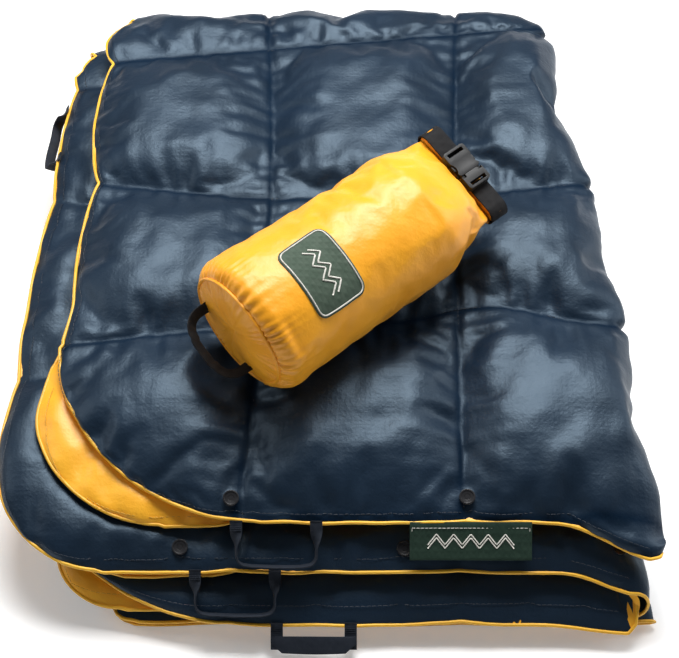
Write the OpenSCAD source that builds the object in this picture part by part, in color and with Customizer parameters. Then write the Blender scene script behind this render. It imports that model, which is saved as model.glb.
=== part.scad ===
// Camp quilt folded into a stack of eight plies, with its roll-top stuff sack lying on it.
// Origin on the floor under the stack, +X to the folded side, -Y to the open hems, +Z up.

/* [Folded stack] */
// Height of the folded stack at its middle
stack_h = 132; // [120:1:150]
// Half depth at which the curved side profile meets the floor
stack_reach = 370; // [369:1:376]
// Exponent of the front of the side profile, where a higher value is boxier
stack_power = 2.8; // [2.4:0.1:3.4]
// Exponent of the back of the side profile
back_power = 8; // [6:0.5:9]
// Y of the folded back edge
back_y = 355; // [340:1:358]
// X of the folded side at the middle of the stack
fold_x = 261; // [250:1:275]
// How far the folded side leans in for each millimetre towards the back
fold_lean = 0.0915; // [0.05:0.005:0.12]
// Thickness that stands for a shell or lining cloth
cloth_t = 1.2; // [1:0.1:1.4]
// Depth of one ply where it turns round a fold
turn_t = 12; // [10:0.5:14]
// Air gap between neighbouring folds
fold_gap = 0.3; // [0.2:0.05:0.5]

/* [Hem binding] */
// Depth of the gold binding in front of the hem
binding_w = 3.5; // [3:0.1:4]
// Height of the gold binding
binding_h = 3.4; // [3:0.1:3.6]

/* [Snaps] */
// Radius of a snap cap
snap_r = 7.2; // [6.5:0.1:7.5]
// Height of a snap cap over the shell
snap_h = 1.8; // [1.4:0.1:2.4]
// Radius of the post that joins cap and socket
snap_post_r = 1.9; // [1.6:0.1:2.2]

/* [Webbing loops] */
// Distance between the two legs of a hem loop
loop_span = 71; // [60:1:80]
// Width of the hem loop webbing
loop_w = 11; // [10:0.5:13]
// How far a hem loop hangs from its hem
loop_drop = 40; // [34:1:42]
// Thickness of all webbing
webbing_t = 1.6; // [1.2:0.1:2]
// Width of the carry loop at its middle
carry_w = 16; // [14:0.5:16]
// How far the carry loop hangs from its hem
carry_drop = 24; // [23:0.5:25]
// Length of the woven label
label_l = 108; // [90:1:116]
// Height of the woven label below the hem
label_h = 31; // [26:1:34]

/* [Stuff sack] */
// Outer radius of the sack
sack_r = 62; // [58:0.5:63]
// Distance from the base to the middle of the rolled mouth
sack_l = 274; // [262:1:290]
// Wall thickness that stands for the sack cloth
sack_t = 1.2; // [1:0.1:1.4]
// Heading of the sack's axis in plan
sack_heading = 40; // [30:1:50]
// Tilt of the sack's axis above level
sack_tilt = 3; // [1:0.5:5]
// Twist of the rolled mouth about the sack's axis
mouth_twist = 18; // [0:1:25]
// Length of the rolled mouth
roll_l = 106; // [100:1:112]

/* [Buckle] */
// Length of the closed side-release buckle
buckle_l = 43; // [41:0.5:45]
// Width of the buckle
buckle_w = 25; // [24:0.5:26]
// Height of the buckle
buckle_h = 7.5; // [7:0.1:8]
// Width of the buckle's webbing
strap_w = 20; // [18:0.5:21]

/* [Hidden] */
$fn = 48;

navy = "#22303f";
gold = "#f2b233";
black = "#15171a";
green = "#2c4638";
grey_green = "#5d6f63";

// Side profile: ply 0 is the top ply, and level 0 is the top of the stack.
plies = 8;
profile_steps = 24;
profile_edge = 85;
profile_y = [for (i = [0:profile_steps]) stack_reach * sin(-profile_edge + 2 * profile_edge * i / profile_steps)];
function profile_power(y) = y < 0 ? stack_power : back_power;
function stack_z(y) = stack_h * pow(1 - pow(abs(y) / stack_reach, profile_power(y)), 1 / profile_power(y));
function level_z(level, y) = stack_z(y) * (plies - level) / plies;
function level_slope(level, y) = atan((level_z(level, y + 1) - level_z(level, y - 1)) / 2);

// Plan of each ply: y of its front hem, x of its left hem at the front and at the back,
// and the radius of its front left corner.
hem_y = [-298, -295, -327, -325, -360, -345, -352, -350];
hem_left_front = [-262, -282, -312, -300, -292, -258, -206, -204];
hem_left_back = [-258, -225, -280, -276, -276, -272, -280, -282];
hem_corner_r = [185, 125, 100, 100, 190, 60, 20, 20];
back_left_r = 60;
back_right_r = 55;
beyond_hem = 60;
beyond_all = 450;
function fold_side_x(y) = fold_x - fold_lean * y;
function hem_left_x(ply, y) =
  hem_left_front[ply]
  + (hem_left_back[ply] - hem_left_front[ply]) * (y - hem_y[ply]) / (back_y - hem_y[ply]);

// How far each fold sits inside the outline of the stack.
outer_inset = 12;
inner_inset = outer_inset + turn_t + fold_gap;
bottom_inset = 6;
half_gap = fold_gap / 2;

// A border is [upper level, upper offset, lower level, lower offset, inset from the folded sides].
// The lowest level rests on the floor without a gap.
function borders(hi, lo, core_hi, core_lo, inset) =
  let (under = lo == plies ? 0 : half_gap)
  [
    [hi, -half_gap, lo, under, inset],
    [hi, -half_gap - cloth_t, lo, under + cloth_t, inset + cloth_t],
    [core_hi, half_gap + cloth_t, core_lo, -half_gap - cloth_t, inset + turn_t - cloth_t],
    [core_hi, half_gap, core_lo, -half_gap, inset + turn_t]
  ];
top_borders = borders(0, 2, 1, 1, 0);
outer_borders = borders(2, 6, 3, 5, outer_inset);
inner_borders = borders(3, 5, 4, 4, inner_inset);
bottom_borders = borders(6, 8, 7, 7, bottom_inset);

// Snaps are [x, y, ply].
snaps = [[-96, -282, 0], [113, -281, 0], [-142, -311, 2], [58, -312, 2], [250, -311, 2]];
snap_seat = 0.6;
snap_socket_r = 6.2;
snap_socket_h = 2.6;
snap_depth = 9;
snap_clear = 0.2;

// Hinge line of each hanging piece, 0.7 mm in front of its binding.
hang_gap = 0.7;
hang_angle = 43;
side_hang_angle = 60;
carry_angle = 40;
top_hinge_y = hem_y[0] - binding_w - hang_gap;
top_hinge_z = level_z(0.5, hem_y[0] - binding_w / 2);
middle_hinge_y = hem_y[2] - binding_w - hang_gap;
middle_hinge_z = level_z(2.5, hem_y[2] - binding_w / 2);
carry_hinge_y = hem_y[4] - binding_w - hang_gap;
carry_hinge_z = level_z(4.5, hem_y[4] - binding_w / 2);
top_loop_x = -56;
middle_loop_x = -93;
carry_loop_x = -23;
carry_span = 66;
label_x = 116;
label_t = 1.2;
side_loop_y = 187;
side_hinge_x = -294.4;
side_hinge_z = level_z(2.5, side_loop_y);

// The sack is modelled along +X from the middle of its base, then placed.
sack_origin = [-93, -158, 190];
base_r = 52;
seam_r = 1.5;
shoulder_x = sack_l - 50;
roll_w = 22;
roll_t = 18;
neck_gap = 0.3;
stuffing_gap = 0.4;
patch_x = 48;
patch_l = 52;
patch_w = 64;
patch_turn = 33;
patch_t = 0.8;
handle_w = 11;
handle_reach = 28;
handle_half = 33;
handle_bend_r = 18;
handle_turn = -59;
handle_root = [-5.2, 7.5, -15];

// The mouth frame has x along the roll and z out through the buckle's face.
strap_gap = 0.3;
strap_z = roll_t / 2 + strap_gap;
roll_end = roll_l / 2 - roll_t / 2;
buckle_z = strap_z + webbing_t + 0.3;
socket_l = 27;
socket_wall = 1.6;
plug_base_l = buckle_l - socket_l - 0.3;
arm_t = 2.6;
arm_w = 3.4;
arm_root_x = buckle_l / 2 - plug_base_l;
arm_l = 14.5;
prong_w = 5;
bar_slot_l = 4;

// ---------------------------------------------------------------- helpers

function unit(v) = v / norm(v);

// Points of a round corner at point b between neighbours a and c.
function corner_arc(a, b, c, r, steps = 9) =
  let (
    u = unit(a - b),
    w = unit(c - b),
    half = acos(u * w) / 2,
    centre = b + unit(u + w) * r / sin(half),
    first = b + u * r / tan(half) - centre,
    start = atan2(first[1], first[0]),
    side = sign(u[0] * w[1] - u[1] * w[0]),
    sweep = side * (180 - 2 * half)
  )
  [for (i = [0:steps]) centre + r * [cos(start - sweep * i / steps), sin(start - sweep * i / steps)]];

// Polygon through the points, each corner rounded by its own radius.
function rounded(points, radii) =
  let (n = len(points))
  [for (i = [0:n - 1]) each corner_arc(points[(i + n - 1) % n], points[i], points[(i + 1) % n], radii[i])];

// Plan inside the folded right and back sides, which every ply of a fold shares.
module fold_column(inset) {
  back = back_y - inset;
  translate([0, 0, -1])
    linear_extrude(height = stack_h + 2)
      polygon(rounded(
        [
          [-beyond_all, -beyond_all],
          [fold_side_x(-beyond_all) - inset, -beyond_all],
          [fold_side_x(back) - inset, back],
          [-beyond_all, back]
        ],
        [1, 1, back_right_r, 1]
      ));
}

// Plan inside the hems of one ply; grow moves them outwards.
module hem_column(ply, inset, grow = 0, corner_r = undef) {
  front = hem_y[ply] - grow;
  back = back_y - inset;
  r = is_undef(corner_r) ? hem_corner_r[ply] + grow : corner_r;
  translate([0, 0, -2])
    linear_extrude(height = stack_h + 4)
      polygon(rounded(
        [
          [hem_left_x(ply, front) - grow, front],
          [beyond_all, front],
          [beyond_all, back],
          [hem_left_x(ply, back) - grow, back]
        ],
        [r, 1, 1, back_left_r]
      ));
}

// Everything between two curved levels of the stack.
module level_band(hi, hi_offset, lo, lo_offset) {
  upper = [for (y = profile_y) [y, level_z(hi, y) + hi_offset]];
  lower = [for (i = [profile_steps:-1:0]) [profile_y[i], level_z(lo, profile_y[i]) + lo_offset]];
  rotate([90, 0, 90])
    linear_extrude(height = 3 * stack_reach, center = true)
      polygon(concat(upper, lower));
}

// Solid inside a border; an open one runs out past the hems.
module fold_solid(border, upper_ply, lower_ply, open = false) {
  grow = open ? beyond_hem : 0;
  corner_r = open ? 1 : undef;
  middle = (border[0] + border[2]) / 2;
  intersection() {
    fold_column(border[4]);
    union() {
      intersection() {
        level_band(border[0], border[1], middle, 0);
        hem_column(upper_ply, border[4], grow, corner_r);
      }
      intersection() {
        level_band(middle, 0, border[2], border[3]);
        hem_column(lower_ply, border[4], grow, corner_r);
      }
    }
  }
}

// One cloth or fill layer that wraps a fold, between two borders.
module fold_layer(list, layer, upper_ply, lower_ply) {
  difference() {
    fold_solid(list[layer], upper_ply, lower_ply);
    fold_solid(list[layer + 1], upper_ply, lower_ply, open = true);
    snap_cuts(upper_ply);
  }
}

module binding(ply, inset) {
  intersection() {
    level_band(ply + 0.5, binding_h / 2, ply + 0.5, -binding_h / 2);
    fold_column(inset);
    difference() {
      hem_column(ply, inset, binding_w);
      translate([0, 0, -1])
        scale([1, 1, 1.1])
          hem_column(ply, inset);
    }
  }
}

// ---------------------------------------------------------------- quilt folds

module top_fold(layer) {
  fold_layer(top_borders, layer, 0, 1);
}

module outer_fold(layer) {
  fold_layer(outer_borders, layer, 2, 5);
}

module inner_fold(layer) {
  fold_layer(inner_borders, layer, 3, 4);
}

module bottom_fold(layer) {
  fold_layer(bottom_borders, layer, 6, 7);
}

module top_fold_shell() { color(navy) top_fold(0); }
module top_fold_fill() { color("white") top_fold(1); }
module top_fold_lining() { color(gold) top_fold(2); }
module outer_fold_shell() { color(navy) outer_fold(0); }
module outer_fold_fill() { color("white") outer_fold(1); }
module outer_fold_lining() { color(gold) outer_fold(2); }
module inner_fold_lining() { color(gold) inner_fold(0); }
module inner_fold_fill() { color("white") inner_fold(1); }
module inner_fold_shell() { color(navy) inner_fold(2); }
module bottom_fold_shell() { color(navy) bottom_fold(0); }
module bottom_fold_fill() { color("white") bottom_fold(1); }
module bottom_fold_lining() { color(gold) bottom_fold(2); }

module top_fold_binding() {
  color(gold) {
    binding(0, 0);
    binding(1, 0);
  }
}

module outer_fold_binding() {
  color(gold) {
    binding(2, outer_inset);
    binding(5, outer_inset);
  }
}

module inner_fold_binding() {
  color(gold) {
    binding(3, inner_inset);
    binding(4, inner_inset);
  }
}

module bottom_fold_binding() {
  color(gold) {
    binding(6, bottom_inset);
    binding(7, bottom_inset);
  }
}

// ---------------------------------------------------------------- snaps

// Puts its children on the shell at a snap, with z along the snap's axis.
module at_snap(snap) {
  translate([snap[0], snap[1], level_z(snap[2], snap[1]) - half_gap])
    rotate([level_slope(snap[2], snap[1]), 0, 0])
      children();
}

module snap_cuts(ply) {
  for (snap = snaps) {
    if (snap[2] == ply)
      at_snap(snap) {
        translate([0, 0, -snap_seat])
          cylinder(r = snap_r + snap_clear, h = 2 * snap_h + snap_seat);
        translate([0, 0, -snap_depth])
          cylinder(r = snap_post_r + snap_clear, h = snap_depth + 1);
        translate([0, 0, -snap_depth - snap_clear])
          cylinder(r = snap_socket_r + snap_clear, h = snap_socket_h + 2 * snap_clear);
      }
  }
}

module snap_caps() {
  rim_w = 1.6;
  dish_h = 0.7;
  dimple_r = 2.6;
  color(black)
    for (snap = snaps)
      at_snap(snap)
        difference() {
          translate([0, 0, 0.05 - snap_seat])
            cylinder(r = snap_r, h = snap_h + snap_seat);
          translate([0, 0, snap_h - dish_h])
            cylinder(r = snap_r - rim_w, h = snap_h);
          translate([0, 0, -snap_seat])
            cylinder(r = dimple_r, h = 2 * snap_h);
        }
}

module snap_posts() {
  head_r = 2.5;
  head_h = 1.5;
  color(black)
    for (snap = snaps)
      at_snap(snap) {
        translate([0, 0, snap_socket_h - snap_depth])
          cylinder(r = snap_post_r, h = snap_depth - snap_socket_h);
        translate([0, 0, 0.05 - snap_seat])
          cylinder(r = head_r, h = head_h);
      }
}

module snap_sockets() {
  color(black)
    for (snap = snaps)
      at_snap(snap)
        translate([0, 0, -snap_depth])
          cylinder(r = snap_socket_r, h = snap_socket_h - 0.05);
}

// ---------------------------------------------------------------- loops and label

// Flat webbing loop that hangs along -Y from its hinge line.
module hanging_loop(span, drop, leg_w, band_w, bend_r) {
  outer = (span + leg_w) / 2;
  inner = (span - leg_w) / 2;
  linear_extrude(height = webbing_t, center = true)
    difference() {
      polygon(rounded(
        [[-outer, 0], [-outer, -drop], [outer, -drop], [outer, 0]],
        [0.5, bend_r, bend_r, 0.5]
      ));
      polygon(rounded(
        [[-inner, 1], [-inner, band_w - drop], [inner, band_w - drop], [inner, 1]],
        [0.5, bend_r / 2, bend_r / 2, 0.5]
      ));
    }
}

module hem_loop() {
  hanging_loop(loop_span, loop_drop, loop_w, loop_w, 20);
}

module top_hem_loop() {
  color(navy)
    translate([top_loop_x, top_hinge_y, top_hinge_z])
      rotate([hang_angle, 0, 0])
        hem_loop();
}

module middle_hem_loop() {
  color(navy)
    translate([middle_loop_x, middle_hinge_y, middle_hinge_z])
      rotate([hang_angle, 0, 0])
        hem_loop();
}

module side_hem_loop() {
  color(navy)
    translate([side_hinge_x, side_loop_y, side_hinge_z])
      rotate([0, 0, -90])
        rotate([side_hang_angle, 0, 0])
          hem_loop();
}

module carry_loop() {
  leg_w = 11;
  color(navy)
    translate([carry_loop_x, carry_hinge_y, carry_hinge_z])
      rotate([carry_angle, 0, 0])
        hanging_loop(carry_span, carry_drop, leg_w, carry_w, 12);
}

module woven_label() {
  color(green)
    translate([label_x, top_hinge_y, top_hinge_z])
      rotate([hang_angle, 0, 0])
        translate([-label_l / 2, -label_h, -label_t / 2])
          cube([label_l, label_h, label_t]);
}

// ---------------------------------------------------------------- stuff sack

module sack_place() {
  translate(sack_origin)
    rotate([0, -sack_tilt, sack_heading])
      children();
}

// Mouth frame: origin at the middle of the roll.
module mouth_place() {
  sack_place()
    translate([sack_l, 0, 0])
      rotate([mouth_twist, 0, 0])
        rotate([0, 0, -90])
          children();
}

// Body of revolution about the sack's axis, with a rounded base edge.
module sack_barrel(r, start, end, edge_r) {
  rotate([90, 0, 90])
    rotate_extrude()
      polygon(concat(
        [[0, start]],
        [for (i = [0:8]) [r - edge_r + edge_r * sin(90 * i / 8), start + edge_r - edge_r * cos(90 * i / 8)]],
        [[r, end], [0, end]]
      ));
}

// The flattened mouth narrows from the round barrel to the straight roll.
module sack_shoulder(r, inset) {
  hull() {
    rotate([0, 90, 0])
      translate([0, 0, shoulder_x - inset])
        cylinder(r = r, h = 1, $fn = 40);
    translate([sack_l - roll_w / 2 - neck_gap - inset, 0, 0])
      rotate([mouth_twist, 0, 0])
        cube([0.6, roll_l - 8 - 2 * inset, roll_t - 4 - inset], center = true);
  }
}

module sack_tube() {
  edge_r = 10;
  color(gold)
    sack_place()
      difference() {
        union() {
          sack_barrel(sack_r, 0, shoulder_x + 0.5, edge_r);
          sack_shoulder(sack_r, 0);
        }
        sack_barrel(sack_r - sack_t, sack_t, shoulder_x, edge_r - sack_t);
        sack_shoulder(sack_r - sack_t, 1);
        rotate([0, 90, 0])
          translate([0, 0, -1])
            cylinder(r = base_r, h = 2 * sack_t + 2);
      }
}

module sack_base() {
  color(gold)
    sack_place()
      rotate([0, 90, 0])
        cylinder(r = base_r - 0.1, h = sack_t);
}

module sack_base_seam() {
  color(gold)
    sack_place()
      rotate([0, 90, 0])
        translate([0, 0, -seam_r - 0.1])
          rotate_extrude()
            translate([base_r, 0])
              circle(r = seam_r, $fn = 20);
}

module sack_stuffing() {
  color("white")
    sack_place()
      sack_barrel(sack_r - sack_t - stuffing_gap, sack_t + stuffing_gap, shoulder_x - 1, 10);
}

module sack_mouth_roll() {
  color(gold)
    mouth_place()
      rotate([0, 90, 90])
        linear_extrude(height = roll_w, center = true) {
          square([roll_t, 2 * roll_end], center = true);
          translate([0, roll_end])
            circle(d = roll_t);
          translate([0, -roll_end])
            circle(d = roll_t);
        }
}

module sack_base_handle() {
  color(black)
    sack_place()
      translate(handle_root)
        rotate([handle_turn, 0, 0])
          rotate([0, -90, 90])
            linear_extrude(height = handle_w, center = true)
              difference() {
                polygon(rounded(
                  [[-handle_half, 0], [-handle_half, handle_reach], [handle_half, handle_reach], [handle_half, 0]],
                  [0.5, handle_bend_r, handle_bend_r, 0.5]
                ));
                polygon(rounded(
                  [
                    [-handle_half + webbing_t, -1],
                    [-handle_half + webbing_t, handle_reach - webbing_t],
                    [handle_half - webbing_t, handle_reach - webbing_t],
                    [handle_half - webbing_t, -1]
                  ],
                  [0.5, handle_bend_r - webbing_t, handle_bend_r - webbing_t, 0.5]
                ));
              }
}

module sack_patch() {
  color(grey_green)
    sack_place()
      rotate([patch_turn, 0, 0])
        intersection() {
          rotate([0, 90, 0])
            difference() {
              translate([0, 0, patch_x])
                cylinder(r = sack_r + 0.1 + patch_t, h = patch_l);
              translate([0, 0, patch_x - 1])
                cylinder(r = sack_r + 0.1, h = patch_l + 2);
            }
          linear_extrude(height = 2 * sack_r)
            polygon(rounded(
              [
                [patch_x, -patch_w / 2],
                [patch_x + patch_l, -patch_w / 2],
                [patch_x + patch_l, patch_w / 2],
                [patch_x, patch_w / 2]
              ],
              [6, 6, 6, 6]
            ));
        }
}

// ---------------------------------------------------------------- closure

// Webbing that wraps one end of the roll and runs in under the buckle.
module closure_strap(side) {
  tail = 12;
  reach = buckle_l / 2 - 6;
  inner_r = roll_t / 2 + strap_gap;
  outer_r = inner_r + webbing_t;
  mouth_place()
    rotate([90, 0, 0])
      linear_extrude(height = strap_w, center = true) {
        intersection() {
          translate([side * roll_end, 0])
            difference() {
              circle(r = outer_r);
              circle(r = inner_r);
            }
          translate([side > 0 ? roll_end : -roll_end - outer_r, -outer_r])
            square([outer_r, 2 * outer_r]);
        }
        translate([side > 0 ? reach : -roll_end, inner_r])
          square([roll_end - reach, webbing_t]);
        translate([side > 0 ? roll_end - tail : -roll_end, -outer_r])
          square([tail, webbing_t]);
      }
}

module left_closure_strap() { color(black) closure_strap(-1); }
module right_closure_strap() { color(black) closure_strap(1); }

// Slot that the webbing threads through, at one end of the buckle.
module bar_slot(x) {
  translate([x - bar_slot_l / 2, -strap_w / 2 + 1, -1])
    cube([bar_slot_l, strap_w - 2, buckle_h + 2]);
}

module buckle_place() {
  mouth_place()
    translate([0, 0, buckle_z])
      children();
}

module rounded_plate(x0, x1, w, h, r) {
  linear_extrude(height = h)
    polygon(rounded([[x0, -w / 2], [x1, -w / 2], [x1, w / 2], [x0, w / 2]], [r, r, r, r]));
}

module buckle_socket() {
  left = -buckle_l / 2;
  cavity_x = left + 9;
  cavity_h = buckle_h - 2 * socket_wall;
  window_l = 9;
  waist_r = 9;
  color(black)
    buckle_place()
      difference() {
        rounded_plate(left, left + socket_l, buckle_w, buckle_h, 3);
        translate([cavity_x, -buckle_w / 2 + 1.5, socket_wall])
          cube([socket_l, buckle_w - 3, cavity_h]);
        // the side channels stay open to the mouth, so that the plug can leave straight
        translate([cavity_x + 4, -buckle_w / 2 - 1, socket_wall])
          cube([socket_l, buckle_w + 2, cavity_h]);
        for (side = [-1, 1])
          translate([cavity_x + window_l, side * (buckle_w / 2 + waist_r - 2.2), -1])
            cylinder(r = waist_r, h = buckle_h + 2);
        bar_slot(left + 4.5);
      }
}

module buckle_plug() {
  right = buckle_l / 2;
  cavity_h = buckle_h - 2 * socket_wall;
  prong_l = 17;
  clear = 0.3;
  color(black)
    buckle_place() {
      difference() {
        rounded_plate(right - plug_base_l, right, buckle_w, buckle_h, 3);
        bar_slot(right - 4.5);
        for (side = [-1, 1])
          translate([arm_root_x - 1, side * (buckle_w / 2 - 3) - arm_w / 2 - clear, -1])
            cube([4.2, arm_w + 2 * clear, buckle_h + 2]);
      }
      translate([arm_root_x - prong_l, -prong_w / 2, socket_wall + clear])
        cube([prong_l + 1, prong_w, cavity_h - 2 * clear]);
    }
}

// Springy side arm with a round root, a straight shank and a thicker catch at its tip.
module buckle_arm(side) {
  cavity_h = buckle_h - 2 * socket_wall;
  clear = 0.3;
  root_y = side * (buckle_w / 2 - 3);
  color(black)
    buckle_place()
      translate([arm_root_x + 1, root_y, socket_wall + clear]) {
        cylinder(r = arm_w / 2, h = cavity_h - 2 * clear);
        translate([-arm_l, -arm_t / 2, 0])
          cube([arm_l, arm_t, cavity_h - 2 * clear]);
        translate([-arm_l, side > 0 ? 0 : -arm_w, 0])
          cube([6, arm_w, cavity_h - 2 * clear]);
      }
}

module buckle_left_arm() { buckle_arm(1); }
module buckle_right_arm() { buckle_arm(-1); }

top_fold_shell();
top_fold_fill();
top_fold_lining();
top_fold_binding();
outer_fold_shell();
outer_fold_fill();
outer_fold_lining();
outer_fold_binding();
inner_fold_lining();
inner_fold_fill();
inner_fold_shell();
inner_fold_binding();
bottom_fold_shell();
bottom_fold_fill();
bottom_fold_lining();
bottom_fold_binding();
snap_caps();
snap_posts();
snap_sockets();
top_hem_loop();
middle_hem_loop();
side_hem_loop();
carry_loop();
woven_label();
sack_tube();
sack_base();
sack_base_seam();
sack_stuffing();
sack_mouth_roll();
sack_base_handle();
sack_patch();
left_closure_strap();
right_closure_strap();
buckle_socket();
buckle_plug();
buckle_left_arm();
buckle_right_arm();
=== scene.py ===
"""Folded camp quilt with its stuff sack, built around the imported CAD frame. All lengths are metres."""

import math

import bmesh
import bpy
import numpy as np
from mathutils import Matrix, Vector, noise
from mathutils.bvhtree import BVHTree


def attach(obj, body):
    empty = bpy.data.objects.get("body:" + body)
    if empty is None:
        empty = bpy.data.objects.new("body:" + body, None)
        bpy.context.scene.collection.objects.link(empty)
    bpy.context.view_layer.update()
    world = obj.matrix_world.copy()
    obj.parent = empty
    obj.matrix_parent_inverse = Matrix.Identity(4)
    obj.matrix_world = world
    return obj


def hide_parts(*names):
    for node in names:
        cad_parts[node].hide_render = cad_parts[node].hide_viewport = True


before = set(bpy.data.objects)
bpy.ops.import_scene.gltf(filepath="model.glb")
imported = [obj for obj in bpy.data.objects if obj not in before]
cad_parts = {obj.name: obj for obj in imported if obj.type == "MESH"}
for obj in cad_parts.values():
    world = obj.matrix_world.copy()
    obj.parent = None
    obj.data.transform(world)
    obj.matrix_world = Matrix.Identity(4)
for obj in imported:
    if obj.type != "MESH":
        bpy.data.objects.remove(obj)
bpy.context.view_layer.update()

# ---------- camera, floor and light

IMAGE_W = 679
FOCAL_PX = 1700
CAMERA_ELEVATION = math.radians(51.3)
CAMERA_DISTANCE = 1.611
CAMERA_TARGET = Vector((0, -0.098, 0.115))
FLOOR_HALF = 6
FLOOR_GAP = 0.0005


def in_scene(name, data):
    """New object that holds the data, linked to the scene."""
    made = bpy.data.objects.new(name, data)
    bpy.context.scene.collection.objects.link(made)
    return made


def make_camera():
    data = bpy.data.cameras.new("camera")
    data.sensor_width = 36
    data.lens = data.sensor_width * FOCAL_PX / IMAGE_W
    camera = in_scene("camera", data)
    away = Vector((0, -math.cos(CAMERA_ELEVATION), math.sin(CAMERA_ELEVATION)))
    camera.location = CAMERA_TARGET + CAMERA_DISTANCE * away
    camera.rotation_euler = (-away).to_track_quat("-Z", "Y").to_euler()
    bpy.context.scene.camera = camera


def area_light(name, location, aim, size, power):
    data = bpy.data.lights.new(name, "AREA")
    data.shape = "RECTANGLE"
    data.size, data.size_y = size
    data.energy = power
    lamp = in_scene(name, data)
    lamp.location = location
    lamp.rotation_euler = (Vector(aim) - Vector(location)).to_track_quat("-Z", "Y").to_euler()


def make_stage():
    world = bpy.data.worlds.new("studio")
    bpy.context.scene.world = world
    world.use_nodes = True
    background = world.node_tree.nodes["Background"].inputs
    background["Color"].default_value = (0.93, 0.96, 1, 1)
    background["Strength"].default_value = 0.12
    area_light("overhead", (0.1, 0.8, 1.9), (0, 0, 0.1), (1.5, 0.8), 68)
    area_light("right_window", (1.9, 0.5, 1.0), (0, -0.05, 0.1), (0.8, 1.2), 14)
    area_light("left_window", (-1.9, 0.2, 1.3), (0, -0.05, 0.1), (0.7, 1.0), 8)
    mesh = bpy.data.meshes.new("floor")
    corners = [(x * FLOOR_HALF, y * FLOOR_HALF, 0) for x, y in ((-1, -1), (1, -1), (1, 1), (-1, 1))]
    mesh.from_pydata(corners, [], [(0, 1, 2, 3)])
    floor = in_scene("floor", mesh)
    floor.location.z = -FLOOR_GAP
    paint = bpy.data.materials.new("floor_paint")
    paint.use_nodes = True
    shader = paint.node_tree.nodes["Principled BSDF"].inputs
    shader["Base Color"].default_value = (0.93, 0.93, 0.93, 1)
    shader["Roughness"].default_value = 0.8
    shader["Emission Color"].default_value = (1, 1, 1, 1)
    shader["Emission Strength"].default_value = 0.22
    mesh.materials.append(paint)


make_camera()
make_stage()
bpy.context.scene.view_settings.view_transform = "Standard"

# ---------- node materials


class Nodes:
    """Short way to build one material's node tree."""

    def __init__(self, name):
        self.material = bpy.data.materials.new(name)
        self.material.use_nodes = True
        self.tree = self.material.node_tree
        self.shader = self.tree.nodes["Principled BSDF"]
        coordinates = self.tree.nodes.new("ShaderNodeTexCoord")
        self.place = coordinates.outputs["Object"]

    def add(self, kind, links=(), **settings):
        node = self.tree.nodes.new(kind)
        for key, value in settings.items():
            if hasattr(node, key):
                setattr(node, key, value)
            else:
                node.inputs[key.replace("_", " ")].default_value = value
        for socket, source in dict(links).items():
            self.tree.links.new(source, node.inputs[socket])
        return node

    def feed(self, socket, value):
        """Links a socket to another node's output, or sets it to a plain value."""
        if isinstance(value, bpy.types.NodeSocket):
            self.tree.links.new(value, socket)
        else:
            socket.default_value = value

    def noise(self, scale, detail=3.0, roughness=0.5):
        settings = dict(Scale=scale, Detail=detail, Roughness=roughness)
        return self.add("ShaderNodeTexNoise", {"Vector": self.place}, **settings).outputs["Fac"]

    def ramp(self, source, stops):
        node = self.add("ShaderNodeValToRGB", {"Fac": source})
        ramp = node.color_ramp
        while len(ramp.elements) < len(stops):
            ramp.elements.new(0.5)
        for element, (position, colour) in zip(ramp.elements, stops):
            element.position = position
            element.color = (*colour, 1)
        return node.outputs["Color"]

    def math(self, operation, a, b):
        node = self.add("ShaderNodeMath", operation=operation)
        self.feed(node.inputs[0], a)
        self.feed(node.inputs[1], b)
        return node.outputs[0]

    def weave(self, pitch):
        """Height of a plain weave: two crossed sets of threads, in object space."""
        threads = []
        for direction in ("X", "Y"):
            settings = dict(bands_direction=direction, Scale=1 / (20 * pitch), Distortion=0.4, Detail=1)
            wave = self.add("ShaderNodeTexWave", {"Vector": self.place}, **settings)
            threads.append(wave.outputs["Fac"])
        return self.math("MAXIMUM", *threads)

    def bump(self, layers):
        """Chains bump layers of (height socket, strength, distance)."""
        normal = None
        for height, strength, distance in layers:
            node = self.add("ShaderNodeBump", {"Height": height}, Strength=strength, Distance=distance)
            if normal:
                self.tree.links.new(normal, node.inputs["Normal"])
            normal = node.outputs["Normal"]
        self.tree.links.new(normal, self.shader.inputs["Normal"])

    def uneven(self, scale, low, high):
        """Value that drifts over the surface between about low and high."""
        node = self.add("ShaderNodeMapRange", {"Value": self.noise(scale)}, To_Min=low, To_Max=high)
        return node.outputs["Result"]

    def finish(self, colour, roughness, specular, sheen=0.0, sheen_tint=(1, 1, 1)):
        looks = {"Base Color": colour, "Roughness": roughness, "Specular IOR Level": specular}
        looks |= {"Sheen Weight": sheen, "Sheen Roughness": 0.35, "Sheen Tint": (*sheen_tint, 1)}
        for name, value in looks.items():
            self.feed(self.shader.inputs[name], value)
        return self.material


WARM = (1, 0.9, 0.6)  # sheen of the gold cloth


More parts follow.
